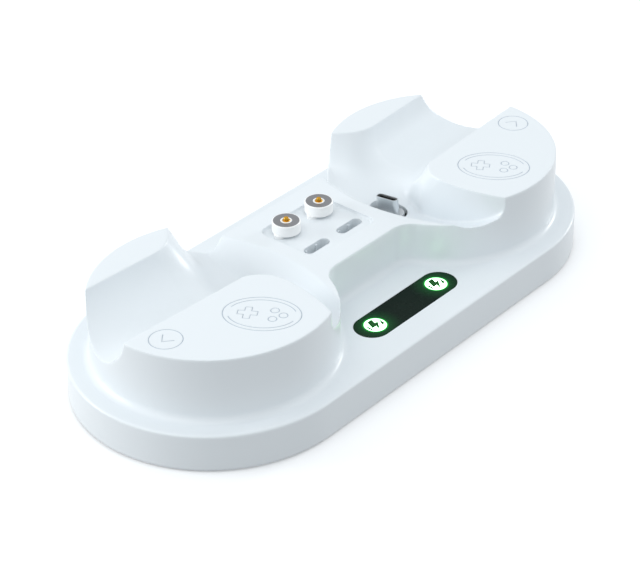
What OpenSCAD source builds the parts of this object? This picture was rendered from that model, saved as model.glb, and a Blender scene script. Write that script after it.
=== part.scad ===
// Charging dock for two hand controllers, in millimetres.
// X runs along the dock, -Y is the front with the indicator window, +Z is up.
// The origin is under the middle of the dock, on the plane that the feet stand on.

/* [Base] */
// Half the depth of the base, and the radius of its round ends
base_r = 44; // [43:0.5:48]
// Distance from the middle of the dock to the middle of each cradle
cradle_x = 53.7; // [52:0.1:60]
// Height of the base from its lower edge to the ledge round the cradles
base_h = 12; // [11:0.25:14]
// Thickness of the moulded walls
wall = 2; // [1.6:0.1:2.2]
// Width of the ledge round the cradles
ledge_w = 7; // [6:0.25:8]
// Rounding of the top edge of the base
base_round = 1; // [0.5:0.1:1.5]
// Height that the feet lift the base off the table
foot_proud = 0.6; // [0.3:0.1:1]

/* [Cradles] */
// Height of the cradle's flat top above the ledge
cradle_h = 21; // [20:0.25:23]
// Blend between the cradle's wall and the ledge
foot_blend = 3; // [2:0.25:4]
// Rounding of the cradle's outer top edge
cradle_round = 0.5; // [0.3:0.1:0.8]

/* [Handle trough] */
// Radius of the trough that holds the handle
trough_r = 14.5; // [13.5:0.25:15.5]
// Height of the trough's axis above the ledge
trough_axis_h = 23.6; // [23:0.1:24.5]
// Distance of the trough's axis behind the middle of the cradle
trough_y = 12; // [11:0.25:13]
// Angle by which the trough opens to the back at its outer end
trough_skew = 3; // [0:0.5:5]

/* [Ring groove] */
// Radius of the controller's ring, which the groove follows
ring_r = 74; // [72:0.5:76]
// Height of the groove's lowest line above the ledge
groove_floor_h = 5; // [4.5:0.25:6]
// Distance of the groove's lowest line behind the middle of the dock
groove_y = 1; // [0:0.5:2]
// Distance from the middle of the dock to the rim of each groove
rim_x = 19.5; // [19:0.25:21]
// Distance of the inner slope's middle behind the middle of the dock
slope_y = 4.5; // [3.5:0.5:5]
// Angle of the groove's inner slope
slope_angle = 41; // [39:0.5:43]
// Radius of the bend between the inner slope and the groove's floor
slope_bend = 12; // [10:0.5:13]
// Distance from the middle of the dock to the outer wall at its lowest front end
groove_out_x = 41.5; // [41:0.25:43]
// Distance from the middle of the dock to the front block's inner side
block_x = 36.9; // [36.5:0.1:38]
// Radius of the block's inner side, seen from above
block_curve = 55; // [50:1:65]
// Place along Y where the block's inner side is nearest to the middle
block_y = -13; // [-14:0.5:-12]
// Corner radius of the block at the trough
block_corner = 9.2; // [8:0.2:10]

/* [Middle] */
// Height of the middle's flat top above the ledge
mid_h = 14.9; // [14:0.1:15.5]
// Distance of the middle's front wall from the centre line
mid_front = 12.5; // [11.5:0.25:13.5]
// Distance of the middle's back wall from the centre line
mid_back = 25.5; // [24.5:0.25:27]
// Corner radius between the middle's front wall and the cradles
corner_blend = 8; // [6:0.5:9]
// Length of the sunk panel
panel_l = 28.8; // [28:0.2:30]
// Width of the sunk panel
panel_w = 23.6; // [23:0.2:24.5]
// Depth of the sunk panel
panel_d = 1.2; // [0.8:0.1:1.4]
// Corner radius of the sunk panel
panel_corner = 3; // [2:0.25:4]
// Distance of the sunk panel's middle behind the centre line
panel_y = 6.4; // [6:0.1:7]

/* [Adapters and their slots] */
// Distance between the two adapters, and between the two slots
slot_pitch = 15.3; // [14.8:0.1:16]
// Distance from the row of slots to the row of adapters
slot_rows = 12.4; // [12:0.1:12.8]
// Length of a slot
slot_l = 10.4; // [10:0.1:11]
// Width of a slot
slot_w = 3.65; // [3.5:0.05:3.9]
// Depth of a slot
slot_d = 8; // [7.6:0.1:9]
// Thickness of the ribs in a slot
slot_rib = 0.45; // [0.3:0.05:0.5]
// Diameter of an adapter
adapter_d = 9; // [8.6:0.1:9.4]
// Height of an adapter's body
adapter_h = 3.6; // [3.2:0.1:4]
// Outer diameter of the adapter's metal ring
magnet_d = 8.2; // [7.8:0.1:8.4]
// Diameter of the white centre inside the ring
hub_d = 3.7; // [3.4:0.1:4]
// Thickness of the adapter's metal ring
magnet_h = 1.4; // [1:0.1:1.8]
// Diameter of the gold contact
contact_d = 1.7; // [1.5:0.1:1.9]
// Height of the gold contact above the white centre
contact_proud = 0.5; // [0.3:0.1:0.7]

/* [Charging plugs] */
// Width of a plug's metal shell
plug_w = 8.34; // [8.3:0.02:8.4]
// Thickness of a plug's metal shell
plug_t = 2.56; // [2.5:0.02:2.6]
// Length that a charging plug stands out of its holder
plug_out = 5.4; // [5:0.1:6.6]
// Length of a plug's metal shell inside its holder
plug_in = 3.5; // [3:0.1:4]
// Thickness of a plug's sheet metal
plug_sheet = 0.25; // [0.2:0.05:0.3]
// Distance from the middle of the dock to each charging plug
plug_x = 32.7; // [32.5:0.1:33.2]
// Distance of the charging plugs behind the centre line, at the groove's floor
plug_y = 4.8; // [4:0.1:5]
// Angle by which the charging plugs lean to the back
plug_lean = 7; // [5:0.5:12]
// Length of a plug's holder
holder_l = 10.8; // [10.4:0.1:11.6]
// Width of a plug's holder
holder_w = 8.2; // [7.8:0.1:8.6]
// Depth of the holder's face below the groove's floor
holder_sunk = 0.6; // [0.4:0.1:0.8]
// Gap between the holder and the hole that it stands in
holder_gap = 1; // [0.8:0.05:1.2]

/* [Indicator window] */
// Length of the window
window_l = 43.6; // [42:0.2:46]
// Width of the window
window_w = 11.4; // [10.8:0.1:12]
// Thickness of the window
window_t = 1.2; // [0.8:0.1:1.4]
// Distance from the front of the base to the window's middle
window_inset = 15.1; // [14.6:0.1:15.6]
// Distance from the window's end to the middle of each indicator
light_inset = 7.1; // [6.5:0.1:7.5]
// Diameter of an indicator
light_d = 7; // [6.6:0.1:7.6]

/* [Inside] */
// Thickness of the bottom cover
cover_t = 2; // [1.8:0.1:2.4]
// Gap between the cover and the rim that it sits in
cover_gap = 0.2; // [0.1:0.05:0.3]
// Thickness of the circuit boards
board_t = 1.2; // [1:0.1:1.6]
// Height of the circuit boards above the cover
board_lift = 2; // [1.6:0.1:2.2]
// Length of the main board from front to back
main_l = 48; // [46:0.5:49]
// Width of the main board
main_w = 36; // [34:0.5:38]
// Distance from the round end of the base to the middle of each foot
foot_inset = 14.8; // [13:0.2:16]
// Diameter of a foot
foot_d = 12; // [10:0.5:14]
// Thickness of a foot
foot_t = 1.6; // [1.4:0.1:1.8]
// Diameter of a screw's shank
screw_d = 2.3; // [2:0.1:2.5]
// Diameter of a screw's head
screw_head_d = 4.4; // [4:0.1:4.8]
// Length of a screw's shank
screw_l = 6.5; // [6:0.1:6.8]

/* [Hidden] */
$fn = 96;
// How far a cutting shape runs past a face that it cuts
over = 1;
// How far joined shapes reach into each other
eps = 0.01;

// Colours
white = "#E9EEF2";
pure_white = "#F7F7F5";
light_grey = "#C9CCD0";
steel = "#9A9A9C";
gold = "#C99A3A";
black = "#0C0F0E";
lit = "#BFF7CF";
rubber = "#5A5D60";
board_green = "#1F5B3A";

// Heights, from the base's lower edge
cradle_top = base_h + cradle_h;
mid_top = base_h + mid_h;
panel_z = mid_top - panel_d;
ring_z = base_h + groove_floor_h + ring_r;
trough_z = base_h + trough_axis_h;
ledge_under = base_h - wall;
board_z = cover_t + board_lift;

// Outlines that follow the base
cradle_r = base_r - ledge_w;
window_y = base_r - window_inset;
light_pitch = window_l - 2 * light_inset;

// How far the middle block reaches into a cradle, and the hollow runs on past each groove's rim
middle_in = 12;
hollow_side = 4;

// Ring groove, whose slope's disc and ring's disc start over the middle and end in the open
slope_sunk = 1.5;
rim_r = ring_z - mid_top;
slope_floor_r = ring_r + slope_sunk;
disc_in = 12;
disc_out = 5;
bend_x = rim_x + (slope_floor_r - rim_r - slope_bend * (1 - cos(slope_angle))) / tan(slope_angle)
    + slope_bend * sin(slope_angle);
groove_corner = 3.5;

// Round bowl at the groove's inner end: it flares above flare_h and meets the front wall at bowl_join
bowl_in = 2.5;
bowl_back = 7;
bowl_front = 13;
bowl_lap = 0.5;
bowl_wide = 12;
bowl_x = rim_x + bowl_in;
bowl_y = groove_y + bowl_back;
bowl_r = 20.2;
bowl_flare = 0.79;
flare_h = 9.5;
bowl_join = bowl_y - bowl_front;

// Inner end of the horn behind the trough: where it meets the cradle's wall, and how it turns and leans
horn_angle = 124.4;
horn_h = 8;
horn_turn = 23;
horn_lean = 24;

// Rounded corner of the front block, which leans with the trough's wall
corner_lean = 33;
corner_len = 13;
corner_up = 7;
corner_past = 3;
corner_edge = [block_x + 0.4, trough_y - 0.98 * trough_r];

// Distance from the charging plug to the trough's inner end
trough_in = 3;

// Slots and panel
slot_y = panel_y - slot_rows / 2;
adapter_y = slot_y + slot_rows;
slot_wall = 1.2;
rib_w = 0.7;
rib_x = [-3.4, 1.2];

// Screws and feet
boss_d = 6.4;
pad_h = 1.5;
pad_d = 8;
pad_inset = 0.5;
head_h = 1.5;
head_sunk = 0.4;
screw_gap = 0.05;
cover_hole_gap = 0.2;
pilot_short = 0.5;
cross_l = 2.6;
cross_w = 0.6;
cross_d = 0.8;
cover_r = base_r - wall - cover_gap;
outer_boss_r = cover_r - pad_d / 2 - pad_inset;
outer_boss_angle = 35;
outer_boss = [cradle_x + outer_boss_r * cos(outer_boss_angle), outer_boss_r * sin(outer_boss_angle)];
inner_boss_inset = 9;
inner_boss = [24, base_r - inner_boss_inset];
foot_angle = 73.5;
foot_edge = 0.3;
foot_spot = [cradle_x + (base_r - foot_inset) * cos(foot_angle), (base_r - foot_inset) * sin(foot_angle)];
BOSSES = [for (sx = [-1, 1], p = [outer_boss, [outer_boss[0], -outer_boss[1]], inner_boss])
    [sx * p[0], p[1]]];

// Window and lights
window_gap = 0.1;
guide_flange = 1.2;
flange_out = 1;
led_size = 3;
led_h = 1.2;
led_rim = 0.4;
led_cup = 0.5;
led_board_end = 4.5;
led_board_l = light_pitch + 2 * led_board_end;
led_board_w = 10;

// Power inlet
inlet_w = 8.94;
inlet_t = 3.2;
inlet_l = 7.4;
inlet_sheet = 0.3;
inlet_recess = 0.6;
inlet_gap = 0.25;
inlet_back = 1;
inlet_z = board_z + board_t + inlet_t / 2;
tongue_w = 6.7;
tongue_t = 0.7;
tongue_sunk = 0.8;
tongue_base = 2;

// Main board, its parts and the posts that carry the boards
board_corner = 1.5;
main_inset = 1.6;
main_back = base_r - inlet_recess - main_inset;
main_front = main_back - main_l;
chip_size = 5;
chip_h = 0.9;
chip_x = main_w / 4;
chip_y = main_front + main_l / 3;
inductor_size = 7;
inductor_h = 3;
inductor_y = main_back - 20;
post_d = 4;
post_inset = 4;
back_post = 12;
led_post_inset = 3;

// Charging plugs
floor_at_plug = ring_z - sqrt(ring_r * ring_r - pow(plug_y - groove_y, 2));
holder_h = 7.5;
holder_hole_down = 12;
holder_hole_up = 4;
plug_board_l = 15;
plug_board_w = 11;
plug_post_l = 15;
plug_post_x = plug_board_w - 3;
plug_post_y = plug_board_l - 3;
core_sunk = 0.3;
core_d = 4.5;
core_side = 0.9;
core_lip = 0.8;

// Ribbons
ribbon_t = 0.3;
ribbon_w = 3;
ribbon_lap = 3;
ribbon_flat = 1.5;
ribbon_drop = 1.5;
ribbon_gap = 0.2;
led_ribbon_w = 5;
led_ribbon_lap = 2;

// Adapters
adapter_edge = 0.2;
collar_h = 0.8;
collar_gap = 0.15;
contact_root = 2.4;
contact_edge = 0.3;
plug_root = 0.8;
adapter_plug_l = 6.6;

function arc(cx, cy, r, a0, a1, n) =
    [for (i = [0:n]) let (a = a0 + (a1 - a0) * i / n) [cx + r * cos(a), cy + r * sin(a)]];

// Outline with round ends, its length along X
module obround(l, w) {
    union() {
        square([l - w, w], center = true);
        for (s = [-1, 1]) translate([s * (l - w) / 2, 0]) circle(d = w);
    }
}

// Rectangle with round corners
module round_rect(l, w, r) {
    square([l - 2 * r, w], center = true);
    square([l, w - 2 * r], center = true);
    for (sx = [-1, 1], sy = [-1, 1]) translate([sx * (l / 2 - r), sy * (w / 2 - r)]) circle(r);
}

// Everything is drawn from the base's lower edge and then stood on its feet
module stand() {
    translate([0, 0, foot_proud]) children();
}

// Puts a shape on both sides of the middle
module both_sides() {
    for (m = [0, 1]) mirror([m, 0, 0]) children();
}

// Half outline of the base, from the centre line outwards
module base_section(r, h, e) {
    polygon(concat([[0, 0], [r, 0]], arc(r - e, h - e, e, 0, 90, 6), [[0, h]]));
}

// Solid with the base's outline and a rounded top edge
module base_solid(r, h, e) {
    union() {
        both_sides() translate([cradle_x, 0, 0]) rotate(-90) rotate_extrude(angle = 180)
            base_section(r, h, e);
        rotate([90, 0, 90]) linear_extrude(2 * cradle_x, center = true) {
            base_section(r, h, e);
            mirror([1, 0]) base_section(r, h, e);
        }
    }
}

// Round cradle, blended into the ledge at its foot
module cradle_solid() {
    translate([cradle_x, 0, 0]) rotate_extrude() polygon(concat(
        [[0, ledge_under], [cradle_r + foot_blend, ledge_under]],
        arc(cradle_r + foot_blend, base_h + foot_blend, foot_blend, 270, 180, 8),
        arc(cradle_r - cradle_round, cradle_top - cradle_round, cradle_round, 0, 90, 4),
        [[0, cradle_top]]));
}

// Centre and touching points of the round corner between the middle's front and a cradle
blend_c = [cradle_x - sqrt(pow(cradle_r + corner_blend, 2) - pow(mid_front + corner_blend, 2)),
    -mid_front - corner_blend];
blend_t = [cradle_x, 0] + (blend_c - [cradle_x, 0]) * cradle_r / (cradle_r + corner_blend);

// Middle of the dock seen from above, without the cradles
module middle_plan() {
    translate([-blend_c[0] - eps, -mid_front]) square([2 * (blend_c[0] + eps), mid_front + mid_back]);
    both_sides() difference() {
        polygon([[0, mid_back], [0, -mid_front], [blend_c[0], -mid_front], blend_c, blend_t,
            [cradle_x - cradle_r + middle_in, 0], [cradle_x - cradle_r + middle_in, mid_back]]);
        translate(blend_c) circle(corner_blend);
    }
}

// Middle block between the cradles
module middle_solid() {
    translate([0, 0, ledge_under]) linear_extrude(mid_top - ledge_under) middle_plan();
}

// Turns an outline of distance along X and radius into a disc round the ring's axis
module ring_turn(y) {
    translate([0, y, ring_z]) rotate([0, 90, 0]) rotate_extrude($fn = 180) rotate(-90) mirror([1, 0])
        children();
}

// Space swept by the controller's ring out to out_x, grown by g
module ring_space(g, out_x) {
    intersection() {
        ring_turn(groove_y) polygon(concat([[rim_x - disc_in - 2, 0], [rim_x - disc_in - 2, ring_r + g]],
            arc(out_x - groove_corner, ring_r - groove_corner, groove_corner + g, 90, 0, 5),
            [[out_x + g, 0]]));
        ring_turn(slope_y) polygon(concat(
            [[rim_x - disc_in, 0],
                [rim_x - disc_in, rim_r - disc_in * tan(slope_angle) + g / cos(slope_angle)]],
            arc(bend_x, slope_floor_r - slope_bend, slope_bend + g, 90 + slope_angle, 90, 6),
            [[out_x + disc_out, slope_floor_r + g], [out_x + disc_out, 0]]));
    }
}

// Plan of the groove's outer wall in front of the trough, grown by g
module groove_front_plan(g) {
    difference() {
        translate([-over, -base_r]) square([block_x + block_curve / 2 + over, base_r + bowl_join]);
        translate([block_x + block_curve, block_y]) circle(block_curve - g, $fn = 180);
    }
}

// Upright space along the front block, grown by g
module groove_front(g) {
    translate([0, 0, base_h]) linear_extrude(cradle_h + over) groove_front_plan(g);
}

// Round bowl between the block and the horn, flared towards the horn's end, grown by g
module groove_bowl(g) {
    hi = cradle_h + over;
    translate([bowl_x, bowl_y, base_h]) {
        cylinder(r = bowl_r + g, h = hi);
        intersection() {
            cylinder(r1 = bowl_r - flare_h * bowl_flare + g, h = hi,
                r2 = bowl_r + (hi - flare_h) * bowl_flare + g);
            translate([-base_r, 0, 0]) cube([2 * base_r, base_r, hi]);
        }
    }
    translate([-over, bowl_join - bowl_lap, base_h]) cube([bowl_x + over, base_r, hi]);
    translate([cradle_x + cradle_r * cos(horn_angle), cradle_r * sin(horn_angle), base_h + horn_h])
        rotate([0, horn_lean, horn_turn]) translate([g - base_r / 2, -base_r / 3, -horn_h])
        cube([base_r / 2, base_r / 2, hi + horn_h]);
}

// Handle trough, grown by g, from the groove to beyond the cradle's outer end
module trough(g) {
    translate([cradle_x, trough_y, trough_z]) rotate([0, 90, trough_skew])
        translate([0, 0, plug_x - trough_in - cradle_x - g])
            cylinder(r = trough_r + g, h = base_r + cradle_r);
}

// Rounding of the front block's corner at the trough
module corner_cut(g) {
    translate([corner_edge[0] + block_corner + g, corner_edge[1] - block_corner - g, cradle_top])
        rotate([corner_lean, 0, 0]) translate([0, 0, -corner_len]) linear_extrude(corner_len + corner_up)
        difference() {
            translate([-block_corner - corner_past, 0])
                square([block_corner + corner_past, block_corner + corner_past]);
            circle(block_corner);
        }
}

// All that is taken out of one cradle and its side of the middle
module cradle_cut(g) {
    trough(g);
    corner_cut(g);
    intersection() {
        groove_front(g);
        ring_space(g, groove_out_x);
    }
    intersection() {
        groove_bowl(g);
        ring_space(g, groove_out_x + bowl_wide);
    }
    intersection() {
        union() {
            groove_front(g);
            groove_bowl(g);
        }
        translate([-over, -base_r, mid_top - g]) cube([cradle_x + over, 2 * base_r, cradle_h]);
    }
}

// Obround for the plugs, its long side along Y
module plug_plan(w, t, g) {
    rotate(90) obround(w + 2 * g, t + 2 * g);
}

// Places a shape at a charging plug, with the groove's floor as its height zero
module at_plug() {
    translate([plug_x, plug_y, floor_at_plug]) rotate([-plug_lean, 0, 0]) children();
}

module slots(g, d) {
    for (s = [-1, 1], y = [slot_y, adapter_y]) translate([s * slot_pitch / 2, y, panel_z - d])
        linear_extrude(d + over) obround(slot_l + 2 * g, slot_w + 2 * g);
}

module panel_plan(g) {
    translate([0, panel_y]) round_rect(panel_l + 2 * g, panel_w + 2 * g, panel_corner + g);
}

module shell_outside() {
    difference() {
        union() {
            base_solid(base_r, base_h, base_round);
            both_sides() cradle_solid();
            middle_solid();
        }
        both_sides() cradle_cut(0);
        translate([0, 0, panel_z]) linear_extrude(panel_d + over) panel_plan(0);
    }
}

// Hollow under the cradles and the middle
module shell_inside() {
    inner_r = cradle_r - wall;
    difference() {
        union() {
            both_sides() translate([cradle_x, 0, ledge_under - over])
                cylinder(r = inner_r, h = cradle_h + over);
            translate([-rim_x - hollow_side, wall - mid_front, ledge_under - over])
                cube([2 * (rim_x + hollow_side), mid_front + mid_back - 2 * wall, mid_h + over]);
        }
        both_sides() cradle_cut(wall);
        translate([0, 0, panel_z - wall]) linear_extrude(wall + over) panel_plan(wall);
    }
    translate([0, 0, -over]) base_solid(base_r - wall, base_h - wall + over, base_round / 2);
}

module boss(p, top) {
    translate([p[0], p[1], cover_t + pad_h]) cylinder(d = boss_d, h = top - cover_t - pad_h);
}

module window_hole() {
    translate([0, -window_y, base_h - window_t]) linear_extrude(window_t + over)
        obround(window_l + 2 * window_gap, window_w + 2 * window_gap);
    for (s = [-1, 1]) translate([s * light_pitch / 2, -window_y, ledge_under - over])
        cylinder(d = light_d + 2 * window_gap, h = wall + 2 * over);
}

module inlet_hole() {
    translate([0, base_r + over, inlet_z]) rotate([90, 0, 0])
        linear_extrude(wall + 3 * over) obround(inlet_w + 2 * inlet_gap, inlet_t + 2 * inlet_gap);
}

module top_shell() color(white) stand() difference() {
    union() {
        difference() {
            shell_outside();
            shell_inside();
        }
        for (p = BOSSES) boss(p, ledge_under + wall / 2);
        intersection() {
            slots(slot_wall, slot_d + slot_wall);
            translate([-rim_x, -mid_front, base_h])
                cube([2 * rim_x, mid_front + mid_back, mid_h - panel_d - wall / 2]);
        }
    }
    difference() {
        slots(0, slot_d);
        for (s = [-1, 1], y = [slot_y, adapter_y], x = rib_x)
            translate([s * slot_pitch / 2 + x, y + slot_w / 2 - slot_rib, panel_z - slot_d - over])
            cube([rib_w, over, slot_d]);
    }
    both_sides() at_plug() translate([0, 0, -holder_hole_down])
        linear_extrude(holder_hole_down + holder_hole_up) plug_plan(holder_l, holder_w, holder_gap);
    for (p = BOSSES) translate([p[0], p[1], 0])
        cylinder(d = screw_d + 2 * screw_gap, h = ledge_under - pilot_short);
    window_hole();
    inlet_hole();
}

module cover_post(x, y, d, h) {
    translate([x, y, cover_t - eps]) cylinder(d = d, h = h + eps);
}

module bottom_cover() color(light_grey) stand() difference() {
    union() {
        linear_extrude(cover_t) obround(2 * (cradle_x + cover_r), 2 * cover_r);
        for (p = BOSSES) cover_post(p[0], p[1], pad_d, pad_h);
        for (sx = [-1, 1], y = [main_front + post_inset, main_back - back_post])
            cover_post(sx * (main_w / 2 - post_inset), y, post_d, board_lift);
        for (s = [-1, 1]) cover_post(s * (led_board_l / 2 - led_post_inset), -window_y, post_d, board_lift);
        both_sides() intersection() {
            at_plug() translate([0, 0, -holder_sunk - holder_h - board_t - plug_post_l])
                linear_extrude(plug_post_l) square([plug_post_x, plug_post_y], center = true);
            translate([0, -base_r, cover_t / 2]) cube([base_r + cradle_x, 2 * base_r, base_h]);
        }
    }
    for (sx = [-1, 1], sy = [-1, 1]) translate([sx * foot_spot[0], sy * foot_spot[1], -over])
        cylinder(d = foot_d, h = over + foot_t - foot_proud);
    for (p = BOSSES) translate([p[0], p[1], -over]) {
        cylinder(d = screw_head_d + 2 * cover_hole_gap, h = over + head_sunk + head_h);
        cylinder(d = screw_d + 2 * cover_hole_gap, h = cover_t + pad_h + 2 * over);
    }
}

module foot(sx, sy) color(rubber) stand() translate([sx * foot_spot[0], sy * foot_spot[1], -foot_proud])
    rotate_extrude() polygon([[0, 0], [foot_d / 2 - foot_edge, 0], [foot_d / 2, foot_edge],
        [foot_d / 2, foot_t], [0, foot_t]]);
module foot_front_left() foot(-1, -1);
module foot_front_right() foot(1, -1);
module foot_back_left() foot(-1, 1);
module foot_back_right() foot(1, 1);

module cover_screws() color(steel) stand() for (p = BOSSES) translate([p[0], p[1], head_sunk]) difference() {
    union() {
        cylinder(d = screw_head_d, h = head_h);
        cylinder(d = screw_d, h = head_h + screw_l);
    }
    for (a = [0, 90]) rotate(a) translate([-cross_l / 2, -cross_w / 2, -over])
        cube([cross_l, cross_w, cross_d + over]);
}

module indicator_window() color(black) stand() difference() {
    translate([0, -window_y, base_h - window_t]) linear_extrude(window_t) obround(window_l, window_w);
    for (s = [-1, 1]) translate([s * light_pitch / 2, -window_y, ledge_under])
        cylinder(d = light_d, h = 2 * wall);
}

module light_guide(s) color(lit) stand() translate([s * light_pitch / 2, -window_y, 0]) {
    translate([0, 0, ledge_under]) cylinder(d = light_d, h = wall);
    translate([0, 0, ledge_under - guide_flange]) cylinder(d = light_d + 2 * flange_out, h = guide_flange);
}
module light_guide_left() light_guide(-1);
module light_guide_right() light_guide(1);

module led_board() color(board_green) stand() translate([0, -window_y, board_z]) linear_extrude(board_t)
    round_rect(led_board_l, led_board_w, board_corner);

module led(s) color(pure_white) stand()
    translate([s * light_pitch / 2, -window_y, board_z + board_t]) difference() {
        translate([-led_size / 2, -led_size / 2, 0]) cube([led_size, led_size, led_h]);
        translate([0, 0, led_h - led_cup]) cylinder(d = led_size - 2 * led_rim, h = over);
    }
module led_left() led(-1);
module led_right() led(1);

module main_board() color(board_green) stand() translate([0, (main_front + main_back) / 2, board_z])
    linear_extrude(board_t) round_rect(main_w, main_l, board_corner);

module chip(x, y, size, h) {
    translate([x - size / 2, y - size / 2, board_z + board_t]) cube([size, size, h]);
}
module charge_chip_left() color(black) stand() chip(-chip_x, chip_y, chip_size, chip_h);
module charge_chip_right() color(black) stand() chip(chip_x, chip_y, chip_size, chip_h);
module power_inductor() color(rubber) stand() chip(0, inductor_y, inductor_size, inductor_h);

module inlet_bore() {
    obround(inlet_w - 2 * inlet_sheet, inlet_t - 2 * inlet_sheet);
}

module power_inlet_shell() color(steel) stand()
    translate([0, base_r - inlet_recess, inlet_z]) rotate([90, 0, 0]) difference() {
        linear_extrude(inlet_l) obround(inlet_w, inlet_t);
        translate([0, 0, -over]) linear_extrude(inlet_l + over - inlet_back) inlet_bore();
    }

module power_inlet_tongue() color(black) stand()
    translate([0, base_r - inlet_recess - inlet_l + inlet_back, inlet_z]) rotate([-90, 0, 0]) {
        linear_extrude(inlet_l - inlet_back - tongue_sunk) square([tongue_w, tongue_t], center = true);
        linear_extrude(tongue_base) inlet_bore();
    }

// Flat ribbon between the main board and a plug board
module plug_ribbon() {
    t = ribbon_t;
    x0 = main_w / 2;
    z0 = board_z + board_t;
    x1 = plug_x - plug_board_w / 2 - ribbon_gap;
    z1 = floor_at_plug - holder_sunk - holder_h - ribbon_drop;
    translate([0, plug_y + ribbon_w / 3, 0]) rotate([90, 0, 0]) linear_extrude(ribbon_w)
        polygon([[x0 - ribbon_lap, z0], [x0 + ribbon_flat, z0], [x1 - ribbon_flat, z1], [x1, z1],
            [x1, z1 + t], [x1 - ribbon_flat - t / 2, z1 + t],
            [x0 + ribbon_flat - t / 2, z0 + t], [x0 - ribbon_lap, z0 + t]]);
}
module ribbon_right() color(pure_white) stand() plug_ribbon();
module ribbon_left() color(pure_white) stand() mirror([1, 0, 0]) plug_ribbon();
module ribbon_led() color(pure_white) stand() {
    y0 = -window_y + led_board_w / 2 - led_ribbon_lap;
    translate([-led_ribbon_w / 2, y0, board_z + board_t])
        cube([led_ribbon_w, main_front + led_ribbon_lap - y0, ribbon_t]);
}

module plug_board() {
    at_plug() translate([0, 0, -holder_sunk - holder_h - board_t]) linear_extrude(board_t)
        square([plug_board_w, plug_board_l], center = true);
}
module plug_board_right() color(board_green) stand() plug_board();
module plug_board_left() color(board_green) stand() mirror([1, 0, 0]) plug_board();

module plug_holder() {
    at_plug() difference() {
        translate([0, 0, -holder_sunk - holder_h]) linear_extrude(holder_h) plug_plan(holder_l, holder_w, 0);
        translate([0, 0, -holder_sunk - plug_in]) linear_extrude(plug_in + over) plug_plan(plug_w, plug_t, 0);
    }
}
module plug_holder_right() color(light_grey) stand() plug_holder();
module plug_holder_left() color(light_grey) stand() mirror([1, 0, 0]) plug_holder();

module shell_tube(l) {
    difference() {
        linear_extrude(l) plug_plan(plug_w, plug_t, 0);
        translate([0, 0, -over]) linear_extrude(l + 2 * over) plug_plan(plug_w, plug_t, -plug_sheet);
    }
}

module insert_core(l) {
    difference() {
        linear_extrude(l) plug_plan(plug_w, plug_t, -plug_sheet);
        translate([0, 0, l - core_d]) linear_extrude(core_d + over)
            plug_plan(plug_w - 2 * core_side, plug_t - 2 * core_lip, 0);
    }
}

module plug_shell() at_plug() translate([0, 0, -holder_sunk - plug_in]) shell_tube(plug_in + plug_out);
module plug_insert() at_plug() translate([0, 0, -holder_sunk - plug_in])
    insert_core(plug_in + plug_out - core_sunk);
module plug_shell_right() color(steel) stand() plug_shell();
module plug_shell_left() color(steel) stand() mirror([1, 0, 0]) plug_shell();
module plug_insert_right() color(black) stand() plug_insert();
module plug_insert_left() color(black) stand() mirror([1, 0, 0]) plug_insert();

module at_adapter(s) {
    stand() translate([s * slot_pitch / 2, adapter_y, panel_z]) children();
}

// Round body on a collar that fills the mouth of the slot
module adapter_body(s) color(pure_white) at_adapter(s) difference() {
    union() {
        rotate_extrude() polygon([[0, 0], [adapter_d / 2 - adapter_edge, 0], [adapter_d / 2, adapter_edge],
            [adapter_d / 2, adapter_h - adapter_edge], [adapter_d / 2 - adapter_edge, adapter_h],
            [0, adapter_h]]);
        translate([0, 0, -collar_h]) linear_extrude(collar_h + adapter_edge)
            obround(slot_l - 2 * collar_gap, slot_w - 2 * collar_gap);
    }
    translate([0, 0, adapter_h - magnet_h]) difference() {
        cylinder(d = magnet_d, h = magnet_h + over);
        translate([0, 0, -over]) cylinder(d = hub_d, h = magnet_h + 3 * over);
    }
    translate([0, 0, adapter_h - contact_root]) cylinder(d = contact_d, h = contact_root + over);
    translate([0, 0, -collar_h - over]) linear_extrude(collar_h + over + plug_root)
        rotate(90) plug_plan(plug_w, plug_t, 0);
}
module adapter_body_left() adapter_body(-1);
module adapter_body_right() adapter_body(1);

module adapter_ring(s) color(steel) at_adapter(s) translate([0, 0, adapter_h - magnet_h]) difference() {
    cylinder(d = magnet_d, h = magnet_h);
    translate([0, 0, -over]) cylinder(d = hub_d, h = magnet_h + 2 * over);
}
module adapter_ring_left() adapter_ring(-1);
module adapter_ring_right() adapter_ring(1);

module adapter_contact(s) color(gold) at_adapter(s) translate([0, 0, adapter_h - contact_root])
    rotate_extrude() polygon([[0, 0], [contact_d / 2, 0],
        [contact_d / 2, contact_root + contact_proud - contact_edge],
        [contact_d / 2 - contact_edge, contact_root + contact_proud], [0, contact_root + contact_proud]]);
module adapter_contact_left() adapter_contact(-1);
module adapter_contact_right() adapter_contact(1);

module adapter_plug(s) color(steel) at_adapter(s) translate([0, 0, plug_root]) mirror([0, 0, 1]) rotate(90)
    shell_tube(plug_root + adapter_plug_l);
module adapter_insert(s) color(black) at_adapter(s) translate([0, 0, plug_root]) mirror([0, 0, 1]) rotate(90)
    insert_core(plug_root + adapter_plug_l - core_sunk);
module adapter_plug_left() adapter_plug(-1);
module adapter_plug_right() adapter_plug(1);
module adapter_insert_left() adapter_insert(-1);
module adapter_insert_right() adapter_insert(1);

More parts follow.
